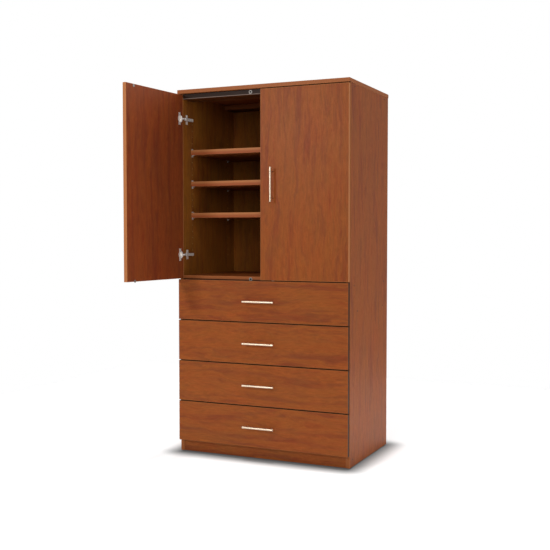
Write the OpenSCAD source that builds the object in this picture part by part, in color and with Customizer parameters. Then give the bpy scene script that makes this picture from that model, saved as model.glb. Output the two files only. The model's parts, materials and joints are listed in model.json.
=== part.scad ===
// Armoire: two hinged doors over four drawers, in cherry laminate board. Millimetres.
// The origin is on the floor, midway between the sides and midway from the fronts to the back.
// +X is to the right for someone facing the armoire, -Y is the front and +Z is up.
// The left door is modelled standing open, the right door and the drawers closed.

/* [Case] */
// Overall height
height = 1829; // [1500:1:2200]
// Width across the two side panels
width = 914; // [700:1:1200]
// Depth from the faces of the fronts to the rear of the back panel
depth = 584; // [480:1:700]
// Thickness of the sides, top, doors, drawer fronts and toe kick
board = 19; // [15:0.1:25]
// Thickness of the deck, shelves and top rails
thick_board = 25; // [18:0.1:32]
// Thickness of the back panel, which covers the rear edges of the sides
back_t = 6; // [3:0.1:12]
// How far the top reaches past each side panel
top_overhang = 2; // [0:0.1:20]
// Width of the eased edges on the boards that show
ease = 1; // [0.2:0.1:2]
// Front-to-back size of the top rails and of the rails under the deck
rail_d = 110; // [60:1:180]

/* [Base] */
// Height of the lowest drawer front above the floor
front_bottom = 62.5; // [45:0.5:140]
// Height of the underside of the bottom panel above the floor
bottom_z = 30.5; // [10:0.5:60]
// How far the toe kick stands back from the edges of the sides
toe_recess = 3; // [0:0.5:60]
// Height of the glides under the sides
glide_h = 5; // [2:0.5:15]
// How far a glide stands in from each face of its side panel
glide_margin = 1.5; // [0:0.5:4]
// From the front and rear edges of a side panel to its glides
glide_inset = 30; // [15:1:80]
// Diameter of the foot under the middle of the bottom panel
foot_d = 40; // [20:1:60]

/* [Fronts] */
// Gap between neighbouring fronts
reveal = 4.4; // [1.5:0.1:6]
// How far the fronts stop short of each side's outer face
side_reveal = 1.5; // [0.5:0.1:5]
// Gap between the case's front edges and the backs of the fronts
front_gap = 2; // [1.5:0.1:4]
// Height that each drawer takes, with one gap
drawer_pitch = 205.5; // [150:0.5:280]
// How far the top of the deck stands above the bottom edges of the doors
deck_lap = 15; // [8:0.5:20]

/* [Shelves] */
// Pitch of the holes for the shelf clips
hole_pitch = 32; // [25:1:40]
// Diameter of the holes
hole_d = 5; // [4:0.1:7]
// Depth of the holes
hole_deep = 10; // [5:0.5:13]
// Height of the lowest hole above the deck
first_hole = 95; // [60:1:200]
// From the case's front edge to the front line of holes
front_holes = 92; // [80:1:130]
// From the back panel to the rear line of holes
rear_holes = 74; // [30:1:120]
// Holes left free above the upper shelf's clips
holes_above = 6; // [2:1:10]
// Most holes from one shelf to the next
most_steps = 5; // [2:1:8]
// How far the shelves' front edges stand back from the case's front edges
shelf_setback = 75; // [20:1:78]
// Gap between the end of a shelf and the side
shelf_gap = 2; // [1:0.1:4]

/* [Drawers] */
// Thickness of the drawer box's sides and ends
box_board = 12; // [9:0.5:16]
// Thickness of the drawer box's bottom
box_bottom_t = 6; // [3:0.5:9]
// From the lower edge of the drawer front to the lower edge of the box
box_lift = 22; // [15:1:40]
// From the lower edge of the box up to its bottom board
box_rise = 9; // [5:0.5:20]
// Depth of the groove that holds the bottom board
groove = 5; // [3:0.5:8]
// Free height above a drawer box
box_clear = 14; // [5:1:40]
// Room for a slide between the side panel and the drawer box
slide_w = 12.7; // [12:0.1:14]
// Height of a slide
slide_h = 45; // [35:0.5:50]
// From the lower edge of the drawer front to the middle of its slide
slide_rise = 62; // [50:1:90]
// Steel thickness of the slides
slide_t = 1.2; // [0.8:0.1:1.5]

/* [Pulls] */
// Diameter of a pull's bar
bar_d = 10; // [8:0.5:16]
// Length of a pull's bar
bar_l = 166; // [140:1:240]
// Distance between a pull's posts
post_pitch = 128; // [96:1:192]
// Diameter of a post
post_d = 8; // [5:0.5:10]
// How far a pull stands out from its front
pull_out = 34; // [25:1:50]
// From a door's free edge to its pull
pull_inset = 65.5; // [30:0.5:90]

/* [Hinges] */
// From the ends of a door to the middles of its hinges
hinge_inset = 120; // [80:1:200]
// Angle at which the left door stands open
open_angle = 94.5; // [80:0.5:110]
// Diameter of a hinge cup
cup_d = 35; // [26:1:40]
// Depth of a hinge cup
cup_deep = 11.5; // [9:0.5:12.5]
// From the door's hinge edge to the cup
cup_edge = 4; // [3:0.5:7]
// From the door's hinge edge to the hinge pin
pin_edge = 9; // [8:0.5:12]
// Depth of the hinge pin behind the door's inner face
pin_deep = 2; // [1.5:0.5:4]
// Diameter of the hinge pin
pin_d = 2; // [1.5:0.1:3]
// From the side's inner face to the open door's inner face
open_in = 1; // [0:0.1:4]
// From the case's front edge to the edge of the open door
open_out = 5.5; // [5:0.1:8]
// Widest angle to which a door swings
full_angle = 110; // [100:1:125]
// Length of a hinge arm
arm_l = 71; // [60:1:90]
// Clearance between a hinge arm and its link when the door is wide open
arm_clear = 1.8; // [0.5:0.1:4]

/* [Fasteners] */
// Diameter of a panel screw's head
head_d = 9.5; // [7:0.1:12]
// Thickness of a panel screw's head
head_t = 2.5; // [1.5:0.1:4]
// How far the head is sunk below the side's face
head_sunk = 0.4; // [0:0.1:1]
// Diameter of a panel screw's shank in the side panel
shank_d = 7; // [5:0.1:7]
// Diameter of a panel screw's thread in the rail
thread_d = 5; // [3:0.1:5]
// Length of the thread
thread_l = 32; // [20:1:45]
// Thickness of board left above and below a door catch
catch_wall = 3.5; // [2:0.1:5]
// Depth of a door catch
catch_deep = 11; // [6:0.5:14]
// Depth of the hollow in the middle of a door catch
catch_hollow = 5; // [1:0.5:5.5]
// From the middle of the case to a door catch
catch_x = 60; // [30:1:120]

/* [Hidden] */
drawers = 4;
$fn = 48;

cherry = "#8a4826";
maple = "#cfae7e";
nickel = "#d8d2c8";
steel = "#a9adb0";
black = "#26221f";

// Clearance round a pin or screw in its hole, and behind a piece set in a pocket
run_fit = 0.05;
pocket_fit = 0.6;
// How far a cut runs past the face that it starts from
past = 1;

// The case in plan
inner_w = width - 2 * board;
inner_x = inner_w / 2;
face_y = -depth / 2;
fronts_back_y = face_y + board;
case_y = fronts_back_y + front_gap;
back_y = depth / 2 - back_t;
case_d = back_y - case_y;

// The case in height
joint_z = front_bottom + drawers * drawer_pitch;
side_top = height - board;
ceiling_z = side_top - thick_board;
deck_top = joint_z + deck_lap;
deck_z = deck_top - thick_board;
deck_rail_z = deck_z - board;
glide_d = board - 2 * glide_margin;

// Doors and drawer fronts
door_h = side_top - reveal - joint_z;
door_edge = width / 2 - side_reveal;
door_w = door_edge - reveal / 2;
front_w = 2 * door_edge;
front_h = drawer_pitch - reveal;

// Shelf clip holes, counted from the deck, with free board above the highest
holes_end = 60;
holes = floor((ceiling_z - first_hole - deck_top - holes_end) / hole_pitch) + 1;
upper_hole = holes - 1 - holes_above;
hole_steps = min(most_steps, floor((upper_hole - 1) / 2));
shelf_holes = [upper_hole, upper_hole - hole_steps, upper_hole - 2 * hole_steps];
clip_lines = [case_y + front_holes, back_y - rear_holes];
shelf_back_gap = 4;

// Shelf clips: a strap over two holes, a ledge under the shelf and a shorter hook over it
clip_t = 1.4;
clip_w = 14;
clip_lap = 5;
clip_ledge = 12;
clip_hook = 8;
clip_ledge_t = 2;
clip_end_gap = 1;
// How far a shelf's middle is above the middle of its clips
clip_rise = 1.5;

// Drawer boxes and slides, whose lengths come in steps
slide_step = 50;
slide_back_gap = 15;
slide_l = floor((case_d - slide_back_gap) / slide_step) * slide_step;
slide_y = case_y + 2;
box_w = inner_w - 2 * slide_w;
box_h = front_h - box_lift - box_clear - (joint_z - reveal - deck_rail_z);
box_inner_w = box_w - 2 * box_board;
bottom_fit = 0.5;

// Slide members: gaps between the flanges, where the balls run, beside the webs and at the ends
ball_gap = 1.8;
web_gap = 1;
tip_gap = 1.6;
end_gap = 2;
member_l = slide_l - 2 * end_gap;
outer_d = slide_w - slide_t - tip_gap;
middle_x = slide_t + web_gap;
middle_d = outer_d - middle_x;
middle_h = slide_h - 2 * (slide_t + ball_gap);
inner_d = slide_w - middle_x - slide_t - tip_gap;
inner_h = middle_h - 2 * (slide_t + ball_gap);

// Hinges: the pin's place from the outer corner of the case, closed and open
hinge_zs = [joint_z + hinge_inset, joint_z + door_h - hinge_inset];
pin_closed = [side_reveal + pin_edge, front_gap + pin_deep];
pin_open = [
    board + open_in + pin_edge * cos(open_angle) - pin_deep * sin(open_angle),
    open_out + pin_edge * sin(open_angle) + pin_deep * cos(open_angle),
];
open_shift = pin_open - pin_closed;

// Hinge links: an eye round the pin, a bar across the side's front edge and a leg behind it
link_t = 2.4;
link_h = 7;
link_back = 24;
link_in = 5;
link_x = board + link_in;
link_eye = 1;

// Hinge arms: a cover over the link's leg, on a mounting plate
arm_t = 1.2;
arm_h = 13.4;
arm_front = 4;
arm_foot = 1.5;
arm_tongue = 10;
arm_out = link_in + open_shift.x * full_angle / open_angle + link_t / 2 + arm_clear + arm_t;
arm_screw = 8;
arm_screw_end = 8;
plate_t = 2;
plate_l = 34;
plate_w = 17;
plate_span = 48;
plate_front = 27;
plate_block = 8;
plate_screws = 32;
cam_d = 6;
cam_y = 20;

// Hinge cups: the cup's middle from the door's edge, its steel, rim, plate and screws
cup_mid = cup_edge + cup_d / 2;
cup_wall = 1;
cup_rim = 1.5;
cup_skin = 0.2;
wing_w = 16;
wing_in = 2;
wing_span = 62;
wing_screws = 48;
screw_head = 7;
screw_head_t = 0.9;
// Half the height of the cup where the pin crosses it
pin_reach = sqrt(pow((cup_d - cup_wall) / 2, 2) - pow(cup_mid - pin_edge, 2));

// Door catches in the deck and the top rail, and the strikes opposite them
catch_d = thick_board - 2 * catch_wall;
catch_proud = 0.5;
catch_zs = [deck_z + thick_board / 2, side_top - thick_board / 2];
strike_in = 2;
strike_t = 1;

// Panel screws, each at [distance from the middle of the case's depth, height]
hex_d = 4;
hex_deep = 1.6;
base_screw_inset = 20;
rail_ys = [case_y + rail_d / 2, back_y - rail_d / 2];
base_y = case_y + toe_recess + board;
rail_screws = concat(
    [for (y = rail_ys, z = [side_top - thick_board / 2, deck_rail_z + board / 2]) [y, z]],
    [for (y = [base_y + base_screw_inset, back_y - 2 * base_screw_inset]) [y, bottom_z + board / 2]]
);
// Bolts that hold the ends of the top drawer's slides
slide_bolt_front = 106;
slide_bolts = [for (y = [slide_bolt_front, slide_l - slide_back_gap]) [case_y + y, drawer_z(1) + slide_rise]];

function drawer_z(n) = front_bottom + (drawers - n) * drawer_pitch;
function box_bottom_z(n) = drawer_z(n) + box_lift + box_rise;
function hole_z(i) = deck_top + first_hole + i * hole_pitch;
function shelf_z(k) = hole_z(shelf_holes[k]) + (hole_pitch - thick_board) / 2 + clip_rise;

// An outline of a by b with its corners cut back by e
function eased(a, b, e) = [
    [e, 0], [a - e, 0], [a, e], [a, b - e], [a - e, b], [e, b], [0, b - e], [0, e],
];

// Bars with eased long edges, along X, Y and Z
module bar_x(l, a, b) rotate([90, 0, 90]) linear_extrude(l) polygon(eased(a, b, ease));
module bar_y(l, a, b) translate([0, l, 0]) rotate([90, 0, 0]) linear_extrude(l) polygon(eased(a, b, ease));
module bar_z(l, a, b) linear_extrude(l) polygon(eased(a, b, ease));

// An upright board facing -Y with all the edges of its two faces eased
module upright(w, t, h) {
    intersection() {
        bar_x(w, t, h);
        bar_z(h, w, t);
    }
}

module both_sides() {
    children();
    mirror([1, 0, 0]) children();
}

// A piece drawn for the closed left door, swung to where that door stands open
module swung() {
    translate([pin_open.x - width / 2, case_y - pin_open.y, 0])
        rotate([0, 0, -open_angle])
        translate([width / 2 - pin_closed.x, pin_closed.y - case_y, 0]) children();
}

// ---- Case ----

module top_panel() {
    top_w = width + 2 * top_overhang;
    color(cherry) translate([-top_w / 2, face_y, side_top]) intersection() {
        bar_x(top_w, depth, board);
        bar_y(depth, top_w, board);
    }
}

// Holes for the shelf clips, in the left side panel's inner face
module clip_holes() {
    for (y = clip_lines, i = [0 : holes - 1]) translate([-inner_x - hole_deep, y, hole_z(i)])
        rotate([0, 90, 0]) cylinder(h = hole_deep + past, d = hole_d);
}

// Clearance for the screws and bolts through the left side panel
module side_screw_holes() {
    for (p = concat(rail_screws, slide_bolts)) translate([-width / 2, p.x, p.y]) rotate([0, 90, 0]) {
        translate([0, 0, -past]) cylinder(h = past + head_sunk + head_t, d = head_d + 2 * run_fit);
        cylinder(h = board + past, d = shank_d + 2 * run_fit);
    }
}

// The left side panel. Only its front edges are eased.
module side_shape() {
    side_h = side_top - glide_h;
    difference() {
        translate([-width / 2, case_y, glide_h]) linear_extrude(side_h)
            polygon([[ease, 0], [board - ease, 0], [board, ease], [board, case_d], [0, case_d], [0, ease]]);
        clip_holes();
        side_screw_holes();
    }
}

module left_side() color(cherry) side_shape();
module right_side() color(cherry) mirror([1, 0, 0]) side_shape();

module back_panel() {
    color(cherry) translate([-width / 2, back_y, glide_h]) cube([width, back_t, side_top - glide_h]);
}

// A board between the side panels, its front edges eased, drilled at its ends for the panel screws
module between_sides(y, d, z, t) {
    difference() {
        translate([-inner_x, y, z]) rotate([90, 0, 90]) linear_extrude(inner_w)
            polygon([[ease, 0], [d, 0], [d, t], [ease, t], [0, t - ease], [0, ease]]);
        both_sides() for (p = rail_screws) if (p.x > y && p.x < y + d && p.y > z && p.y < z + t)
            translate([-inner_x - past, p.x, p.y]) rotate([0, 90, 0])
                cylinder(h = past + thread_l + pocket_fit, d = thread_d + 2 * run_fit);
    }
}

// Pockets for the two door catches in a board's front edge
module catch_pockets(z) {
    both_sides() translate([-catch_x, case_y - past, z]) rotate([-90, 0, 0])
        cylinder(h = past + catch_deep + pocket_fit, d = catch_d + 2 * run_fit);
}

module deck() {
    color(cherry) difference() {
        between_sides(case_y, case_d, deck_z, thick_board);
        catch_pockets(catch_zs[0]);
    }
}

module bottom_panel() {
    color(cherry) between_sides(base_y, back_y - base_y, bottom_z, board);
}

module toe_kick() {
    color(cherry) translate([-inner_x, case_y + toe_recess, glide_h])
        bar_x(inner_w, board, front_bottom - reveal - glide_h);
}

module top_front_rail() {
    color(cherry) difference() {
        between_sides(case_y, rail_d, ceiling_z, thick_board);
        catch_pockets(catch_zs[1]);
    }
}

module top_rear_rail() color(cherry) between_sides(back_y - rail_d, rail_d, ceiling_z, thick_board);
module deck_front_rail() color(cherry) between_sides(case_y, rail_d, deck_rail_z, board);
module deck_rear_rail() color(cherry) between_sides(back_y - rail_d, rail_d, deck_rail_z, board);

// Shelf k, counted from the top
module shelf(k) {
    shelf_w = inner_w - 2 * shelf_gap;
    shelf_d = case_d - shelf_setback - shelf_back_gap;
    color(cherry) translate([-shelf_w / 2, case_y + shelf_setback, shelf_z(k)])
        bar_x(shelf_w, shelf_d, thick_board);
}

// A locking clip for shelf k on the left side panel, with a pin in each of two holes
module shelf_clip(y, k) {
    low = hole_z(shelf_holes[k]);
    under = shelf_z(k);
    pin_l = hole_deep - clip_end_gap;
    translate([-inner_x, y - clip_w / 2, 0]) {
        translate([0, 0, low - clip_lap]) cube([clip_t, clip_w, hole_pitch + 2 * clip_lap]);
        translate([0, 0, under - clip_ledge_t]) cube([clip_ledge, clip_w, clip_ledge_t]);
        translate([0, 0, under + thick_board]) cube([clip_hook, clip_w, clip_ledge_t]);
        for (z = [low, low + hole_pitch]) translate([-pin_l, clip_w / 2, z]) rotate([0, 90, 0])
            cylinder(h = pin_l + clip_t / 2, d = hole_d - 2 * run_fit);
    }
}

module shelf_clips() {
    color(nickel) both_sides() for (k = [0 : len(shelf_holes) - 1], y = clip_lines) shelf_clip(y, k);
}

module glides() {
    color(black) both_sides() for (y = [case_y + glide_inset, back_y - glide_inset])
        translate([-width / 2 + board / 2, y, 0]) cylinder(h = glide_h, d = glide_d);
}

// A foot with a stem, under the middle of the bottom panel
module centre_foot() {
    color(black) {
        cylinder(h = glide_h, d = foot_d);
        cylinder(h = bottom_z, d = foot_d / 2);
    }
}

// A screw through the left side panel, along +X, with a thread if it holds a board between the sides
module panel_screw(threaded) {
    shank_l = board - head_sunk - head_t;
    rotate([0, 90, 0]) {
        difference() {
            translate([0, 0, head_sunk]) cylinder(h = head_t, d = head_d);
            translate([0, 0, head_sunk - past]) cylinder(h = past + hex_deep, d = hex_d, $fn = 6);
        }
        translate([0, 0, board - shank_l]) cylinder(h = shank_l, d = shank_d);
        if (threaded) translate([0, 0, board]) cylinder(h = thread_l, d = thread_d);
    }
}

module panel_screws() {
    color(black) both_sides() {
        for (p = rail_screws) translate([-width / 2, p.x, p.y]) panel_screw(true);
        for (p = slide_bolts) translate([-width / 2, p.x, p.y]) panel_screw(false);
    }
}

// Round catches in the front edges of the top rail and the deck, each with a round hollow
module door_catches() {
    color(nickel) both_sides() for (z = catch_zs) translate([-catch_x, case_y - catch_proud, z])
        rotate([-90, 0, 0]) difference() {
            cylinder(h = catch_deep, d = catch_d);
            translate([0, 0, -past]) cylinder(h = past + catch_hollow, d = catch_d / 2);
        }
}

// ---- Hinges, drawn for the closed left door ----

// A plate on the left side panel, with a block that the arm clips over and two screws
module mounting_plate() {
    block_h = arm_h - 2 * arm_t - 2 * run_fit;
    translate([0, 0, -plate_span / 2]) cube([plate_t, plate_w, plate_span]);
    translate([0, 0, -block_h / 2]) cube([plate_block, plate_l, block_h]);
    for (s = [-1, 1]) translate([plate_t, plate_w / 2, s * plate_screws / 2]) rotate([0, 90, 0])
        cylinder(h = screw_head_t, d = screw_head);
    translate([plate_block, cam_y, 0]) rotate([0, 90, 0])
        cylinder(h = arm_out - plate_block + screw_head_t, d = cam_d);
}

// A sheet-metal cover, open towards the side panel, whose rear end rises to a short tongue
module arm_cover() {
    difference() {
        translate([arm_foot, 0, -arm_h / 2]) cube([arm_out - arm_foot, arm_l, arm_h]);
        translate([0, -past, arm_t - arm_h / 2]) cube([arm_out - arm_t, arm_l + 2 * past, arm_h - 2 * arm_t]);
        translate([0, arm_l - arm_tongue, -arm_h]) cube([arm_out / 2, arm_l, 2 * arm_h]);
    }
    translate([arm_out - arm_t, arm_l - arm_screw_end, 0]) rotate([0, 90, 0])
        cylinder(h = arm_t + screw_head_t, d = arm_screw);
}

module hinge_arms_shape() {
    for (z = hinge_zs) translate([-inner_x, case_y, z]) {
        translate([0, plate_front, 0]) mounting_plate();
        translate([0, arm_front, 0]) arm_cover();
    }
}

// Cups let into the door, each with a plate, two screws and the pin that the link turns on
module hinge_cups_shape() {
    for (z = hinge_zs) translate([-door_edge, fronts_back_y, z]) {
        difference() {
            union() {
                translate([cup_mid, cup_wall, 0]) rotate([90, 0, 0]) {
                    cylinder(h = cup_wall + cup_deep, d = cup_d);
                    cylinder(h = cup_wall, d = cup_d + 2 * cup_rim);
                }
                translate([cup_mid - wing_in, 0, -wing_span / 2]) cube([wing_w, cup_wall, wing_span]);
            }
            translate([cup_mid, cup_wall + past, 0]) rotate([90, 0, 0])
                cylinder(h = past + cup_deep, d = cup_d - 2 * cup_wall);
        }
        for (s = [-1, 1]) translate([cup_mid - wing_in + wing_w / 2, cup_wall, s * wing_screws / 2])
            rotate([-90, 0, 0]) cylinder(h = screw_head_t / 2, d = screw_head);
        translate([pin_edge, -pin_deep, -pin_reach]) cylinder(h = 2 * pin_reach, d = pin_d);
    }
}

// Bores in the door for the cups
module cup_bores() {
    for (z = hinge_zs) translate([cup_mid - door_edge, fronts_back_y + past, z]) rotate([90, 0, 0])
        cylinder(h = past + cup_deep + cup_skin, d = cup_d + 2 * run_fit);
}

// The angled links from the arms to the pins in the cups
module hinge_links_shape() {
    bar_l = link_x + link_t / 2 - pin_closed.x;
    for (z = hinge_zs) translate([pin_closed.x - width / 2, case_y - pin_closed.y, z - link_h / 2])
        difference() {
            union() {
                cylinder(h = link_h, d = pin_d + 2 * link_eye);
                translate([0, -link_t / 2, 0]) cube([bar_l, link_t, link_h]);
                translate([bar_l - link_t, 0, 0]) cube([link_t, link_back + pin_closed.y, link_h]);
            }
            translate([0, 0, -past]) cylinder(h = link_h + 2 * past, d = pin_d + 2 * run_fit);
        }
}

module left_hinge_arms() color(nickel) hinge_arms_shape();
module right_hinge_arms() color(nickel) mirror([1, 0, 0]) hinge_arms_shape();
module left_hinge_links() color(steel) translate([open_shift.x, -open_shift.y, 0]) hinge_links_shape();
module right_hinge_links() color(steel) mirror([1, 0, 0]) hinge_links_shape();
module left_hinge_cups() color(nickel) swung() hinge_cups_shape();
module right_hinge_cups() color(nickel) mirror([1, 0, 0]) hinge_cups_shape();

// ---- Doors, drawn for the closed left door ----

module door_shape() {
    difference() {
        translate([-door_edge, face_y, joint_z]) upright(door_w, board, door_h);
        cup_bores();
    }
}

// A bar pull along X, centred on its posts, standing out from the plane y = 0 towards -Y
module bar_pull() {
    post_l = pull_out - bar_d / 2;
    translate([-bar_l / 2, -post_l, 0]) rotate([0, 90, 0]) cylinder(h = bar_l, d = bar_d);
    for (s = [-1, 1]) translate([s * post_pitch / 2, 0, 0]) rotate([90, 0, 0])
        cylinder(h = post_l, d = post_d);
}

module door_pull_shape() {
    translate([-reveal / 2 - pull_inset, face_y, joint_z + door_h / 2]) rotate([0, 90, 0]) bar_pull();
}

// Thin strike discs on the door's inner face, opposite the catches
module strikes_shape() {
    for (z = catch_zs) translate([-catch_x, fronts_back_y, z]) rotate([-90, 0, 0])
        cylinder(h = strike_t, d = catch_d - 2 * strike_in);
}

module left_door() color(cherry) swung() door_shape();
module right_door() color(cherry) mirror([1, 0, 0]) door_shape();
module left_door_pull() color(nickel) swung() door_pull_shape();
module right_door_pull() color(nickel) mirror([1, 0, 0]) door_pull_shape();
module left_door_strikes() color(nickel) swung() strikes_shape();
module right_door_strikes() color(nickel) mirror([1, 0, 0]) strikes_shape();

// ---- Drawers, counted from the top ----

module drawer_front(n) {
    color(cherry) translate([-front_w / 2, face_y, drawer_z(n)]) upright(front_w, board, front_h);
}

module drawer_pull(n) {
    color(nickel) translate([0, face_y, drawer_z(n) + front_h / 2]) bar_pull();
}

// The bottom board's groove, cut into the inner faces of the box
module bottom_groove(n) {
    translate([-box_inner_w / 2 - groove, fronts_back_y + box_board - groove, box_bottom_z(n)])
        cube([box_inner_w + 2 * groove, slide_l - 2 * box_board + 2 * groove, box_bottom_t + 2 * run_fit]);
}

module drawer_sides(n) {
    color(maple) difference() {
        both_sides() translate([-box_w / 2, fronts_back_y, drawer_z(n) + box_lift])
            cube([box_board, slide_l, box_h]);
        bottom_groove(n);
    }
}

module drawer_ends(n) {
    color(maple) difference() {
        for (y = [fronts_back_y, fronts_back_y + slide_l - box_board])
            translate([-box_inner_w / 2, y, drawer_z(n) + box_lift]) cube([box_inner_w, box_board, box_h]);
        bottom_groove(n);
    }
}

module drawer_bottom(n) {
    lip = groove - bottom_fit;
    size = [box_inner_w + 2 * lip, slide_l - 2 * box_board + 2 * lip, box_bottom_t];
    color(maple) translate([-size.x / 2, fronts_back_y + box_board - lip, box_bottom_z(n) + run_fit])
        cube(size);
}

// A channel of height h and depth d along Y, its web at x = 0 and its flanges towards +X
module channel(l, h, d) {
    translate([0, 0, -h / 2]) difference() {
        cube([d, l, h]);
        translate([slide_t, -past, slide_t]) cube([d, l + 2 * past, h - 2 * slide_t]);
    }
}

// The three members of each slide, nested one inside the next: on the case, between, and on the box
module slide_outers() {
    color(steel) both_sides() for (n = [1 : drawers])
        translate([-inner_x, slide_y, drawer_z(n) + slide_rise]) channel(slide_l, slide_h, outer_d);
}

module drawer_middles(n) {
    color(steel) both_sides() translate([-inner_x + middle_x, slide_y + end_gap, drawer_z(n) + slide_rise])
        channel(member_l, middle_h, middle_d);
}

module drawer_inners(n) {
    color(steel) both_sides() translate([-inner_x + slide_w, slide_y + end_gap, drawer_z(n) + slide_rise])
        mirror([1, 0, 0]) channel(member_l, inner_h, inner_d);
}

top_panel();
left_side();
right_side();
back_panel();
deck();
bottom_panel();
toe_kick();
top_front_rail();
top_rear_rail();
deck_front_rail();
deck_rear_rail();
shelf(0);  // upper_shelf
shelf(1);  // middle_shelf
shelf(2);  // lower_shelf
shelf_clips();
glides();
centre_foot();
panel_screws();
door_catches();
left_hinge_arms();
right_hinge_arms();
slide_outers();
left_door();
left_door_pull();
left_hinge_cups();
left_hinge_links();
left_door_strikes();
right_door();
right_door_pull();
right_hinge_cups();
right_hinge_links();
right_door_strikes();
for (n = [1 : drawers]) {
    drawer_front(n);
    drawer_pull(n);
    drawer_sides(n);
    drawer_ends(n);
    drawer_bottom(n);
    drawer_inners(n);
    drawer_middles(n);
}
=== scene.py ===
# %% [markdown]
# # An armoire in cherry laminate
# A tall bedroom armoire: two doors on concealed hinges, shelves behind them and four drawers
# below. Every board, pull, hinge and slide comes from the CAD model with its real shape, so
# the work here is the finishes: what each surface is made of, how its pattern runs and how it
# takes the light. All lengths are in metres, +Z is up and the front faces -Y.

# %% The frame
import json
import math

import bpy
from mathutils import Matrix, Vector


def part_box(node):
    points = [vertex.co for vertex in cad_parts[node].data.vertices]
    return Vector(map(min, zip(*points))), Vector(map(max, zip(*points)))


MM = 0.001
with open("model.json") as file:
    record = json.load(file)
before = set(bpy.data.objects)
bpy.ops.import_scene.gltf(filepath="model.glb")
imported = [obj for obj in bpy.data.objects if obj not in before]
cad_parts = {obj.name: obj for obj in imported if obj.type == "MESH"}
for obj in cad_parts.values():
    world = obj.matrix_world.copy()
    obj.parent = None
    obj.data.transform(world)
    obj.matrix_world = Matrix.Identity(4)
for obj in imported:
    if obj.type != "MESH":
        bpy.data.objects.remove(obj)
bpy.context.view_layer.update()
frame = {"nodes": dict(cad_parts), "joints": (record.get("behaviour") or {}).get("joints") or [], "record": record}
nodes = frame["nodes"]

# %% [markdown]
# ## Where each board's grain runs
# Laminated board is cut from printed sheets. Upright boards are cut with the grain standing up,
# and drawer fronts, rails, shelves and the top with the grain across. A board's own box gives
# the faces that carry edge tape. The left door stands open, so its box is measured in its own
# turned directions, which the hinge in the record gives.

# %% Grain directions
SHELVES = ["upper_shelf", "middle_shelf", "lower_shelf"]
DRAWER_FRONTS = [f"drawer_{n}_front" for n in range(1, 5)]
UPRIGHT = ["left_side", "right_side", "back_panel", "left_door", "right_door"]
LEVEL = [
    "top_panel", "deck", "bottom_panel", "toe_kick", "top_front_rail", "top_rear_rail",
    "deck_front_rail", "deck_rear_rail", *SHELVES, *DRAWER_FRONTS,
]

swing = next(j for j in frame["joints"] if j["name"] == "left_door_swing")
door_turn = math.radians(swing["range_deg"][0])
print("the left door stands open by", round(-math.degrees(door_turn), 1), "degrees")


def box_of(name, turn=0.0):
    """The lowest and highest corner of a node, measured in axes turned about Z."""
    spun = Matrix.Rotation(-turn, 3, "Z")
    places = [spun @ v.co for v in nodes[name].data.vertices]
    return [Vector([pick(p[i] for p in places) for i in range(3)]) for pick in (min, max)]


# %% [markdown]
# ## Small tools for materials
# Colours are written as sRGB hex values, the way a swatch is, and one function turns them to the
# linear values that the renderer mixes. One more adds a node with its settings and its links.

# %% Colour and node helpers
def linear(hex_colour):
    """An sRGB hex colour as linear RGBA, by the curve that the sRGB standard gives."""
    parts = [int(hex_colour[i:i + 2], 16) / 255 for i in (1, 3, 5)]
    return [c / 12.92 if c <= 0.04045 else ((c + 0.055) / 1.055) ** 2.4 for c in parts] + [1.0]


def add(tree, kind, inputs=None, **settings):
    """Adds a node, sets its properties, then sets or links its inputs."""
    node = tree.nodes.new(kind)
    for key, value in settings.items():
        setattr(node, key, value)
    for socket, value in (inputs or {}).items():
        if isinstance(value, bpy.types.NodeSocket):
            tree.links.new(value, node.inputs[socket])
        else:
            node.inputs[socket].default_value = value
    return node


def new_material(name):
    """An empty node material and its tree."""
    material = bpy.data.materials.new(name)
    material.use_nodes = True
    material.node_tree.nodes.clear()
    return material, material.node_tree


def finish_material(tree, shader):
    """Sends a shader to the surface."""
    add(tree, "ShaderNodeOutputMaterial", {"Surface": shader.outputs["BSDF"]})


def assign(name, material):
    """Gives a node its one material."""
    nodes[name].data.materials.clear()
    nodes[name].data.materials.append(material)


def ramp(tree, factor, stops):
    """A colour ramp through (position, hex colour) stops."""
    node = add(tree, "ShaderNodeValToRGB", {"Fac": factor})
    elements = node.color_ramp.elements
    for position, _ in stops[len(elements):]:
        elements.new(position)
    for element, (position, colour) in zip(elements, stops):
        element.position = position
        element.color = linear(colour)
    return node.outputs["Color"]


# %% [markdown]
# ## Patterns with real sizes
# Wood figure, brushed lines and moulded grain are all drawn here as noise, stretched to a length
# and a width in millimetres. Each layer is written as four numbers: millimetres along the grain,
# millimetres across it, octaves of finer detail, and how strong each octave is. Most of a noise's
# values lie near its middle, so a second helper stretches that middle over the range that a shade
# or a roughness needs.

# %% Noise helpers
NOISE_MIDDLE = 0.5
SOFT_REACH = 0.2
CRISP_REACH = 0.14


def stretched_noise(tree, place, layer):
    """Noise stretched along the grain, as a layer's four numbers say."""
    length, width, octaves, strength = layer
    along, across = 1 / (length * MM), 1 / (width * MM)
    scaled = add(tree, "ShaderNodeMapping", {"Vector": place, "Scale": (along, across, across)})
    return add(tree, "ShaderNodeTexNoise", {
        "Vector": scaled.outputs["Vector"], "Scale": 1.0, "Detail": octaves, "Roughness": strength,
    }).outputs["Fac"]


def spread(tree, noise, least, most, reach=SOFT_REACH):
    """Stretches the middle of a noise, as far as reach on either side, from least to most."""
    return add(tree, "ShaderNodeMapRange", {
        "Value": noise, "From Min": NOISE_MIDDLE - reach, "From Max": NOISE_MIDDLE + reach,
        "To Min": least, "To Max": most,
    }).outputs[0]


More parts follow.
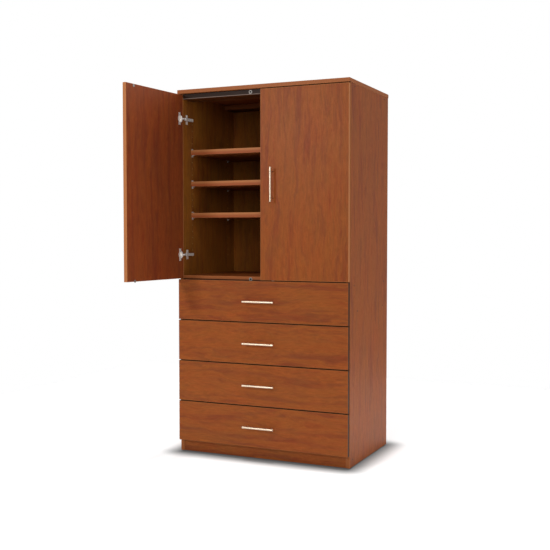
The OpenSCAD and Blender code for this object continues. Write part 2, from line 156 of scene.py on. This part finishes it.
# %% [markdown]
# ## The printed cherry figure
# The sheet is paper printed with wild cherry and pressed under a satin melamine skin. Cherry has
# broad soft bands of red-brown and gold that wander a little, patches that lean to a greyer
# brown, short darker streaks, faint flecks across the grain, and pores. Real pores are about a
# tenth of a millimetre wide and could not show, so they are drawn over ten times as wide. The
# layers sit in one group that every board shares, and each board reads it from another place, as
# boards cut from one roll would.

# %% Cherry figure group
WANDER = (240, 80, 2, 0.5)
BAND = (480, 30, 3, 0.6)
PATCH = (260, 120, 2, 0.5)
HUE = (75, 10, 3, 0.5)
STREAK = (50, 6, 4, 0.62)
FLECK = (2.5, 9, 2, 0.5)
PORE = (14, 1.2, 2, 0.5)
WANDER_BY = 14 * MM
WARM_BANDS = [(0.34, "#7b391d"), (0.46, "#86421e"), (0.55, "#8d481f"), (0.66, "#823d1d")]
GREY_BANDS = [(0.34, "#763f22"), (0.5, "#834821"), (0.66, "#8c4c1f")]
HUE_SHARE = 0.5
STREAK_SHADE = (0.84, 1.13)
FLECK_SHADE = (0.96, 1.035)
PORE_SHADE = (0.92, 1.03)


def cherry_figure():
    """The printed figure: takes a place (along, across, depth) and gives colour and height."""
    tree = bpy.data.node_groups.new("cherry figure", "ShaderNodeTree")
    tree.interface.new_socket("Place", in_out="INPUT", socket_type="NodeSocketVector")
    for name, kind in (("Colour", "NodeSocketColor"), ("Height", "NodeSocketFloat")):
        tree.interface.new_socket(name, in_out="OUTPUT", socket_type=kind)
    place = add(tree, "NodeGroupInput").outputs["Place"]

    sway = spread(tree, stretched_noise(tree, place, WANDER), -WANDER_BY, WANDER_BY)
    across = add(tree, "ShaderNodeCombineXYZ", {"Y": sway, "Z": sway}).outputs["Vector"]
    bent = add(tree, "ShaderNodeVectorMath", {0: place, 1: across}, operation="ADD").outputs["Vector"]

    bands = stretched_noise(tree, bent, BAND)
    warm = ramp(tree, bands, WARM_BANDS)
    grey = ramp(tree, bands, GREY_BANDS)
    lean = add(tree, "ShaderNodeMix", {
        0: HUE_SHARE, 2: stretched_noise(tree, bent, PATCH), 3: stretched_noise(tree, bent, HUE),
    }, data_type="FLOAT")
    greyness = spread(tree, lean.outputs[0], 0.0, 1.0, CRISP_REACH)
    mixed = add(tree, "ShaderNodeMix", {0: greyness, 6: warm, 7: grey}, data_type="RGBA")

    streaks = stretched_noise(tree, bent, STREAK)
    flecks = stretched_noise(tree, place, FLECK)
    pores = stretched_noise(tree, place, PORE)
    streaky = add(tree, "ShaderNodeMath", {
        0: spread(tree, streaks, *STREAK_SHADE), 1: spread(tree, flecks, *FLECK_SHADE),
    }, operation="MULTIPLY")
    shade = add(tree, "ShaderNodeMath", {
        0: streaky.outputs[0], 1: spread(tree, pores, *PORE_SHADE, CRISP_REACH),
    }, operation="MULTIPLY")
    tinted = add(tree, "ShaderNodeVectorMath", {
        0: mixed.outputs[2], "Scale": shade.outputs[0],
    }, operation="SCALE")

    height = add(tree, "ShaderNodeMath", {0: streaks, 1: pores}, operation="ADD")
    add(tree, "NodeGroupOutput", {"Colour": tinted.outputs["Vector"], "Height": height.outputs[0]})
    return tree


cherry = cherry_figure()
print("cherry figure:", len(cherry.nodes), "nodes")

# %% [markdown]
# ## Edge tape
# Along a board's narrow faces runs PVC tape, printed in a plainer colour. It is found by how near
# a point is to the end of its board. On the doors the tape is painted paler, a painted highlight
# for the light on their eased edges, and a shelf's is painted pale above, as painted light on its
# upper edge, over its darker tape below. A drawer front's is painted pale, a painted highlight,
# with a dark rim of painted shade that draws the line of the gap round it. The deck's is painted
# dark, as painted shade, where it lies in the gap under the doors, and the rail above the doors
# has a nearly black one, painted shade under the top, with a painted highlight on its lower arris.

# %% Edge tape colours
TAPE = "#8e522d"
# Painted highlight: a paler tape for the light on the eased edges of the doors and drawer fronts and on a shelf's
# upper edge.
PAINTED_HIGHLIGHT_TAPE = "#a4683f"
SHELF_TAPE = "#8f4c2b"
# Painted shade: a nearly black tape on the rail under the top, for the shade there.
PAINTED_SHADE_TAPE = "#2a1a11"
# Painted shade for the gaps round the drawer fronts and under the doors.
PAINTED_GAP_SHADE = "#371a0e"
# Painted highlight on the lower arris of the rail under the top.
PAINTED_ARRIS_HIGHLIGHT = "#7d6d65"
PAINTED_HIGHLIGHT_TAPED = ["left_door", "right_door"]
# The rim of painted gap shade on a drawer front runs this far in from its ends.
GAP_SHADE_BEGINS = 1.0 * MM
GAP_SHADE_FULL = 0.7 * MM
DOOR_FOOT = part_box("right_door")[0][2]
RAIL_FOOT = box_of("top_front_rail")[0].z

# For each board: its tape's colour, the colour of a level band on that tape, and the heights at
# which the band begins and is full. The bands are painted light and shade: a painted highlight on
# the rail's lower arris and on each shelf's upper edge, and painted shade where the deck lies in
# the gap under the doors. The rail's own tape, nearly black, is painted shade under the top.
PAINTED_LIGHT_AND_SHADE_BANDS = {
    "top_front_rail": (PAINTED_SHADE_TAPE, PAINTED_ARRIS_HIGHLIGHT, RAIL_FOOT + 3.4 * MM, RAIL_FOOT + 1.8 * MM),
    "deck": (TAPE, PAINTED_GAP_SHADE, DOOR_FOOT + 1 * MM, DOOR_FOOT),
}
for shelf in SHELVES:
    shelf_top = box_of(shelf)[1].z
    PAINTED_LIGHT_AND_SHADE_BANDS[shelf] = (SHELF_TAPE, PAINTED_HIGHLIGHT_TAPE, shelf_top - 16 * MM, shelf_top - 6 * MM)


def near_ends(tree, xyz, box, axes, begins, full):
    """Runs from 0 to 1 between two distances inward from a board's ends, along one or two axes."""
    lowest, highest = box
    found = []
    for i in axes:
        half = (highest[i] - lowest[i]) / 2
        offset = add(tree, "ShaderNodeMath", {
            0: xyz.outputs[i], 1: (lowest[i] + highest[i]) / 2,
        }, operation="SUBTRACT")
        out = add(tree, "ShaderNodeMath", {0: offset.outputs[0]}, operation="ABSOLUTE")
        found.append(add(tree, "ShaderNodeMapRange", {
            "Value": out.outputs[0], "From Min": half - begins, "From Max": half - full,
        }).outputs[0])
    return add(tree, "ShaderNodeMath", {0: found[0], 1: found[-1]}, operation="MAXIMUM").outputs[0]


def layered(tree, base, layers):
    """A base colour with others laid over it in turn, each where its own factor is 1."""
    for factor, colour in layers:
        mixed = add(tree, "ShaderNodeMix", {0: factor, 6: base, 7: colour}, data_type="RGBA")
        base = mixed.outputs[2]
    return base


def edge_tape(tree, name, xyz, box, wide):
    """The colour of a board's edge tape, with the painted highlight and painted shade that some tapes carry."""
    if name in PAINTED_LIGHT_AND_SHADE_BANDS:
        base, over, begins, full = PAINTED_LIGHT_AND_SHADE_BANDS[name]
        factor = add(tree, "ShaderNodeMapRange", {
            "Value": xyz.outputs["Z"], "From Min": begins, "From Max": full,
        }).outputs[0]
    elif name in DRAWER_FRONTS:
        base, over = PAINTED_HIGHLIGHT_TAPE, PAINTED_GAP_SHADE
        factor = near_ends(tree, xyz, box, wide, GAP_SHADE_BEGINS, GAP_SHADE_FULL)
    else:
        return linear(PAINTED_HIGHLIGHT_TAPE if name in PAINTED_HIGHLIGHT_TAPED else TAPE)
    return layered(tree, linear(base), [(factor, linear(over))])


print("level bands on the tape of", len(PAINTED_LIGHT_AND_SHADE_BANDS), "boards")

# %% [markdown]
# ## Cherry laminate boards
# Melamine laminate has a satin skin: it is a plastic, so its reflection is colourless, and its
# fine texture scatters nearly all of it, which a low specular level gives. Inside a drilled hole
# the bare board shows. The left door, which is seen from its inner face, is painted a little darker
# and redder than the rest, as painted shade, the case's inner faces are more olive, and the two
# rails under the top are painted dimmer, as painted shade under the top.

# %% Cherry laminate
CORE = "#b48d5c"
SKIN = 0.3 * MM
# On the doors and drawer fronts the pale tape reaches this far onto the wide faces, a painted highlight along the
# eased edge.
TAPE_BEGINS = 2.0 * MM
TAPE_FULL = 0.2 * MM
GRAIN_ORDER = {"Z": ("Z", "X", "Y"), "X": ("X", "Z", "Y")}
SEED_STEP = (1.37, 0.61, 0.23)
PLAIN = (1, 1, 1)
# Painted shade: the left door is painted darker and redder, and the two rails under the top darker.
PAINTED_SHADE_REDDER = (0.9, 0.76, 0.9)
PAINTED_SHADE_DIMMER = (0.35, 0.35, 0.3)
OLIVE = (1.1, 1.42, 0.95)
PAINTED_SHADE_TONES = {"left_door": PAINTED_SHADE_REDDER, "top_front_rail": PAINTED_SHADE_DIMMER, "top_rear_rail": PAINTED_SHADE_DIMMER}
INNER_FACES = {"left_side": (1, 0, 0), "right_side": (-1, 0, 0), "back_panel": (0, -1, 0)}
TURNED_INWARD = 0.5
FIGURE_HEIGHTS = (0.7, 1.3)
SATIN_ROUGHNESS = (0.46, 0.38)
SKIN_SPECULAR = 0.08
TEXTURE_STRENGTH = 0.25
TEXTURE_DEPTH = 0.05 * MM


def face_colour(tree, name, figure):
    """The figure, darkened as painted shade on some boards, and more olive on a case panel's inner face."""
    colour = add(tree, "ShaderNodeVectorMath", {
        0: figure.outputs["Colour"], 1: PAINTED_SHADE_TONES.get(name, PLAIN),
    }, operation="MULTIPLY").outputs["Vector"]
    if name not in INNER_FACES:
        return colour
    normal = add(tree, "ShaderNodeNewGeometry").outputs["True Normal"]
    facing = add(tree, "ShaderNodeVectorMath", {
        0: normal, 1: INNER_FACES[name],
    }, operation="DOT_PRODUCT").outputs["Value"]
    inward = add(tree, "ShaderNodeMath", {0: facing, 1: TURNED_INWARD}, operation="GREATER_THAN")
    olive = add(tree, "ShaderNodeVectorMath", {0: colour, 1: OLIVE}, operation="MULTIPLY")
    return layered(tree, colour, [(inward.outputs[0], olive.outputs["Vector"])])


def cherry_laminate(name, grain, seed, turn=0.0):
    """The laminate of one board, with its grain along Z or X and edge tape on its narrow faces."""
    material, tree = new_material(f"cherry laminate {name}")
    here = add(tree, "ShaderNodeTexCoord").outputs["Object"]
    turned = add(tree, "ShaderNodeVectorRotate", {
        "Vector": here, "Angle": -turn,
    }, rotation_type="Z_AXIS")
    xyz = add(tree, "ShaderNodeSeparateXYZ", {"Vector": turned.outputs["Vector"]})
    order = add(tree, "ShaderNodeCombineXYZ", {
        i: xyz.outputs[axis] for i, axis in enumerate(GRAIN_ORDER[grain])
    })
    place = add(tree, "ShaderNodeVectorMath", {
        0: order.outputs["Vector"], 1: [step * seed for step in SEED_STEP],
    }, operation="ADD")
    figure = add(tree, "ShaderNodeGroup", {"Place": place.outputs["Vector"]}, node_tree=cherry)

    box = box_of(name, turn)
    lowest, highest = box
    thin, *wide = sorted(range(3), key=lambda i: highest[i] - lowest[i])
    in_skin = near_ends(tree, xyz, box, [thin], SKIN, 0.0)
    cut = add(tree, "ShaderNodeMath", {0: 1.0, 1: in_skin}, operation="SUBTRACT").outputs[0]
    in_tape = near_ends(tree, xyz, box, wide, TAPE_BEGINS, TAPE_FULL)
    colour = layered(tree, face_colour(tree, name, figure), [
        (cut, linear(CORE)), (in_tape, edge_tape(tree, name, xyz, box, wide)),
    ])

    bump = add(tree, "ShaderNodeBump", {
        "Height": figure.outputs["Height"], "Strength": TEXTURE_STRENGTH, "Distance": TEXTURE_DEPTH,
    })
    rough = add(tree, "ShaderNodeMapRange", {
        "Value": figure.outputs["Height"], "From Min": FIGURE_HEIGHTS[0], "From Max": FIGURE_HEIGHTS[1],
        "To Min": SATIN_ROUGHNESS[0], "To Max": SATIN_ROUGHNESS[1],
    })
    finish_material(tree, add(tree, "ShaderNodeBsdfPrincipled", {
        "Base Color": colour, "Roughness": rough.outputs[0], "Specular IOR Level": SKIN_SPECULAR,
        "Normal": bump.outputs["Normal"],
    }))
    return material


for seed, name in enumerate(UPRIGHT + LEVEL, start=1):
    grain = "Z" if name in UPRIGHT else "X"
    turn = door_turn if name == "left_door" else 0.0
    assign(name, cherry_laminate(name, grain, seed, turn))
print("cherry laminate on", len(UPRIGHT + LEVEL), "boards")

# %% [markdown]
# ## Maple drawer boxes
# The boxes behind the fronts are maple-coloured melamine board: pale, close-grained and plain,
# with a faint straight grain along the drawer's depth.

# %% Maple melamine
MAPLE_BROAD = (400, 30, 3, 0.5)
MAPLE_FINE = (60, 3, 3, 0.5)
BROAD_SHARE = 0.6
MAPLE_COLOURS = [(0.35, "#c9a878"), (0.5, "#d6b88b"), (0.65, "#dfc59c")]
MAPLE_ROUGHNESS = 0.45
MELAMINE_IOR = 1.5


def maple_melamine():
    """Pale board with a faint straight grain along the drawer's depth."""
    material, tree = new_material("maple melamine")
    here = add(tree, "ShaderNodeTexCoord").outputs["Object"]
    xyz = add(tree, "ShaderNodeSeparateXYZ", {"Vector": here})
    place = add(tree, "ShaderNodeCombineXYZ", {
        0: xyz.outputs["Y"], 1: xyz.outputs["X"], 2: xyz.outputs["Z"],
    }).outputs["Vector"]
    broad = add(tree, "ShaderNodeMath", {
        0: stretched_noise(tree, place, MAPLE_BROAD), 1: BROAD_SHARE,
    }, operation="MULTIPLY")
    both = add(tree, "ShaderNodeMath", {
        0: stretched_noise(tree, place, MAPLE_FINE), 1: 1 - BROAD_SHARE, 2: broad.outputs[0],
    }, operation="MULTIPLY_ADD")
    finish_material(tree, add(tree, "ShaderNodeBsdfPrincipled", {
        "Base Color": ramp(tree, both.outputs[0], MAPLE_COLOURS), "Roughness": MAPLE_ROUGHNESS,
        "IOR": MELAMINE_IOR,
    }))
    return material


maple = maple_melamine()
print("made", maple.name)

# %% [markdown]
# ## Metals
# The pulls are die-drawn bars plated in nickel and brushed round, which leaves a warm white metal
# with fine lines along the bar. Hinges and clips are stamped steel, nickel plated and left
# bright. Catches and strikes have a duller plate. The slides are zinc plated: greyer, with a
# faint cloudiness. The brushed lines are drawn coarser than real ones, which are too fine to
# show. Two of the plates stop short of fully metallic, which keeps small stampings light.

# %% Plated metals
BRUSHED = (30, 1.5, 4, 0.6)
STAMPED = (8, 6, 4, 0.6)
CLOUDED = (14, 9, 4, 0.6)
PLATE_SPAN = (0.35, 0.65)
LINE_STRENGTH = 0.15
LINE_DEPTH = 0.02 * MM


def plated(name, dark, pale, layer, roughness, vary, metallic=1.0):
    """A plated metal whose colour and roughness vary along brushed or rolled lines."""
    material, tree = new_material(name)
    lines = stretched_noise(tree, add(tree, "ShaderNodeTexCoord").outputs["Object"], layer)
    bump = add(tree, "ShaderNodeBump", {
        "Height": lines, "Strength": LINE_STRENGTH, "Distance": LINE_DEPTH,
    })
    finish_material(tree, add(tree, "ShaderNodeBsdfPrincipled", {
        "Base Color": ramp(tree, lines, list(zip(PLATE_SPAN, (dark, pale)))), "Metallic": metallic,
        "Roughness": spread(tree, lines, roughness - vary, roughness + vary),
        "Normal": bump.outputs["Normal"],
    }))
    return material


satin_nickel = plated("satin brushed nickel", "#d2bea6", "#e8d8c2", BRUSHED, 0.34, 0.06)
bright_nickel = plated("bright nickel plate", "#f0e8e2", "#fffaf6", STAMPED, 0.38, 0.05, metallic=0.6)
dull_nickel = plated("dull nickel plate", "#7b7671", "#918c87", STAMPED, 0.55, 0.05, metallic=0.8)
zinc_plate = plated("zinc plated steel", "#9a9ea1", "#bcc0c2", CLOUDED, 0.34, 0.08)
print("made", [m.name for m in (satin_nickel, bright_nickel, dull_nickel, zinc_plate)])

# %% [markdown]
# ## Plastics and dark steel
# The glides and the centre foot are black polypropylene with a fine moulded grain. The panel
# screws are steel with a bronzed finish, so that their heads sink into the cherry. Both grains
# are drawn a little coarser than real ones, so that they show close to.

# %% Dark finishes
MOULDED = (1.5, 1.5, 3, 0.5)
BRONZED = (2.0, 2.0, 3, 0.5)
GRIT_SPAN = (0.4, 0.6)
GRIT_STRENGTH = 0.3
GRIT_DEPTH = 0.05 * MM


def speckled(name, dark, pale, layer, roughness, metallic=0.0):
    """A dark finish with a moulded or bronzed speckle."""
    material, tree = new_material(name)
    grains = stretched_noise(tree, add(tree, "ShaderNodeTexCoord").outputs["Object"], layer)
    bump = add(tree, "ShaderNodeBump", {
        "Height": grains, "Strength": GRIT_STRENGTH, "Distance": GRIT_DEPTH,
    })
    finish_material(tree, add(tree, "ShaderNodeBsdfPrincipled", {
        "Base Color": ramp(tree, grains, list(zip(GRIT_SPAN, (dark, pale)))), "Metallic": metallic,
        "Roughness": roughness, "Normal": bump.outputs["Normal"],
    }))
    return material


black_plastic = speckled("black polypropylene", "#191715", "#2a2623", MOULDED, 0.55)
bronzed_steel = speckled("bronzed steel", "#2a1a12", "#4a3022", BRONZED, 0.4, metallic=0.8)
print("made", [m.name for m in (black_plastic, bronzed_steel)])

# %% [markdown]
# ## Finishes on the small parts
# Each small part takes the finish of its material slot in the record. The catches and strikes
# take the duller plate instead. A catch is a round can with an open hollow, where hardly any
# light gets in, so its plate is painted dark behind the front face, as painted shade.

# %% Small parts
# Painted shade in a catch's hollow.
PAINTED_HOLLOW_SHADE = "#0c0a09"
HOLLOW_SHADE_BEGINS = 0.6 * MM


def paint_hollow_shade(material, name):
    """Paints shade on a plated piece where it lies deeper than its front face."""
    tree = material.node_tree
    shader = next(n for n in tree.nodes if n.type == "BSDF_PRINCIPLED")
    colour = shader.inputs["Base Color"].links[0].from_socket
    here = add(tree, "ShaderNodeTexCoord").outputs["Object"]
    front = box_of(name)[0].y
    deep = add(tree, "ShaderNodeMapRange", {
        "Value": add(tree, "ShaderNodeSeparateXYZ", {"Vector": here}).outputs["Y"],
        "From Min": front + HOLLOW_SHADE_BEGINS, "From Max": front + 2 * HOLLOW_SHADE_BEGINS,
    })
    shaded_colour = layered(tree, colour, [(deep.outputs[0], linear(PAINTED_HOLLOW_SHADE))])
    tree.links.new(shaded_colour, shader.inputs["Base Color"])


catch_nickel_painted_shade = dull_nickel.copy()
catch_nickel_painted_shade.name = "dull nickel catch"
paint_hollow_shade(catch_nickel_painted_shade, "door_catches")

FINISHES = {
    "maple": maple, "satin_nickel": satin_nickel, "bright_nickel": bright_nickel,
    "zinc_steel": zinc_plate, "black_plastic": black_plastic, "bronzed_steel": bronzed_steel,
}
DULLER = {
    "door_catches": catch_nickel_painted_shade, "left_door_strikes": dull_nickel, "right_door_strikes": dull_nickel,
}
finished = 0
for part in frame["record"]["subparts"]:
    finish = DULLER.get(part["node"]) or FINISHES.get(part["material_slot"])
    if finish:
        assign(part["node"], finish)
        finished += 1
print("small parts finished:", finished)

# %% [markdown]
# ## Floor
# A plain pale floor, which fades into the white surround. A soft shade lies round the armoire's
# foot, darkest at the base and gone a hand's width away, as wide soft light leaves there. It is
# part of the floor's colour, which keeps it smooth, and is worked out from the base's own box.

# %% Floor
FLOOR_REACH = 2.4
FLOOR_PALE = 0.93
FLOOR_ROUGHNESS = 0.9
FLOOR_GLOW = 0.05
CONTACT_REACH = 0.14
CONTACT_DARK = 0.16
ANY_HEIGHT = 1.0

floor_mesh = bpy.data.meshes.new("floor")
corners = [(x * FLOOR_REACH, y * FLOOR_REACH, 0.0) for x, y in ((-1, -1), (1, -1), (1, 1), (-1, 1))]
floor_mesh.from_pydata(corners, [], [(0, 1, 2, 3)])
floor = bpy.data.objects.new("floor", floor_mesh)
bpy.context.scene.collection.objects.link(floor)


def distance_from_base(tree):
    """How far a point on the floor lies outside the rectangle that the base covers."""
    back_corner = box_of("bottom_panel")[1]
    front = box_of("toe_kick")[0].y
    middle = (0.0, (back_corner.y + front) / 2, 0.0)
    half = (back_corner.x, (back_corner.y - front) / 2, ANY_HEIGHT)
    vector = add(tree, "ShaderNodeTexCoord").outputs["Object"]
    steps = (("SUBTRACT", middle), ("ABSOLUTE", None), ("SUBTRACT", half), ("MAXIMUM", (0, 0, 0)))
    for operation, value in steps:
        inputs = {0: vector} if value is None else {0: vector, 1: value}
        vector = add(tree, "ShaderNodeVectorMath", inputs, operation=operation).outputs["Vector"]
    return add(tree, "ShaderNodeVectorMath", {0: vector}, operation="LENGTH").outputs["Value"]


floor_material, tree = new_material("pale floor")
contact = add(tree, "ShaderNodeMapRange", {
    "Value": distance_from_base(tree), "From Min": 0.0, "From Max": CONTACT_REACH,
    "To Min": CONTACT_DARK, "To Max": FLOOR_PALE,
}, interpolation_type="SMOOTHSTEP").outputs[0]
finish_material(tree, add(tree, "ShaderNodeBsdfPrincipled", {
    "Base Color": contact, "Roughness": FLOOR_ROUGHNESS, "Specular IOR Level": 0.0,
    "Emission Color": linear("#ffffff"), "Emission Strength": FLOOR_GLOW,
}))
floor_mesh.materials.append(floor_material)
print("floor", 2 * FLOOR_REACH, "m across")

# %% [markdown]
# ## Light
# Three even lights from far off set the level of each face: the front, the right side, and the
# top with the floor. A small key light on the left of the front gives the pulls their highlights
# and shadows, and a wider one above washes the upper half. The surround looks white, and lights
# the armoire with about a third of that.

# %% Lights
# Name, degrees left of the front, degrees up, degrees across, strength
FAR_LIGHTS = [
    ("front fill", -27, 8, 25, 0.19),
    ("side fill", -116, 12, 40, 0.48),
    ("overhead", 0, 89, 9, 0.62),
]
# Name, place, the point it faces, metres across, watts
AREA_LIGHTS = [
    ("key", (-1.25, -3.45, 2.1), (0, -0.3, 1.0), 0.4, 42),
    ("top wash", (0.3, -1.9, 3.1), (0, -0.3, 1.2), 0.8, 15),
]


def add_lamp(data, towards):
    """Adds a light that shines along a direction."""
    lamp = bpy.data.objects.new(data.name, data)
    lamp.rotation_euler = towards.to_track_quat("-Z", "Y").to_euler()
    bpy.context.scene.collection.objects.link(lamp)
    return lamp


for name, left, up, across, strength in FAR_LIGHTS:
    sun = bpy.data.lights.new(name, "SUN")
    sun.angle = math.radians(across)
    sun.energy = strength * math.pi
    left, up = math.radians(left), math.radians(up)
    source = Vector((-math.sin(left) * math.cos(up), -math.cos(left) * math.cos(up), math.sin(up)))
    add_lamp(sun, -source)

for name, place, aim, across, watts in AREA_LIGHTS:
    area = bpy.data.lights.new(name, "AREA")
    area.size = across
    area.energy = watts
    add_lamp(area, Vector(aim) - Vector(place)).location = place
print("lights:", len(FAR_LIGHTS + AREA_LIGHTS))

# %% Surround
SURROUND_LIGHT = 0.32
SURROUND_SEEN = 1.0
world = bpy.data.worlds.new("white surround")
world.use_nodes = True
bpy.context.scene.world = world
path = add(world.node_tree, "ShaderNodeLightPath")
seen = add(world.node_tree, "ShaderNodeMapRange", {
    "Value": path.outputs["Is Camera Ray"], "To Min": SURROUND_LIGHT, "To Max": SURROUND_SEEN,
})
background = world.node_tree.nodes["Background"]
background.inputs["Color"].default_value = linear("#ffffff")
world.node_tree.links.new(seen.outputs[0], background.inputs["Strength"])
print("surround light:", SURROUND_LIGHT)

# %% [markdown]
# ## Camera
# The armoire is seen from in front and from its right, from a little above the middle of its
# height, with a moderately long lens. A camera with no rotation looks straight down, so a level
# view is a quarter turn, less the few degrees by which it looks down.

# %% Camera
SENSOR_MM = 36.0
LENS_MM = 59.7
CAMERA_PLACE = (1.908, -4.278, 1.105)
CAMERA_DOWN = 2.53
CAMERA_TURN = 24.63
LEVEL_VIEW = 90

camera_data = bpy.data.cameras.new("camera")
camera_data.sensor_width = SENSOR_MM
camera_data.lens = LENS_MM
camera = bpy.data.objects.new("camera", camera_data)
camera.location = CAMERA_PLACE
camera.rotation_euler = (math.radians(LEVEL_VIEW - CAMERA_DOWN), 0.0, math.radians(CAMERA_TURN))
bpy.context.scene.collection.objects.link(camera)
bpy.context.scene.camera = camera
bpy.context.scene.view_settings.view_transform = "Standard"
print("camera at", CAMERA_PLACE, "with a", LENS_MM, "mm lens")
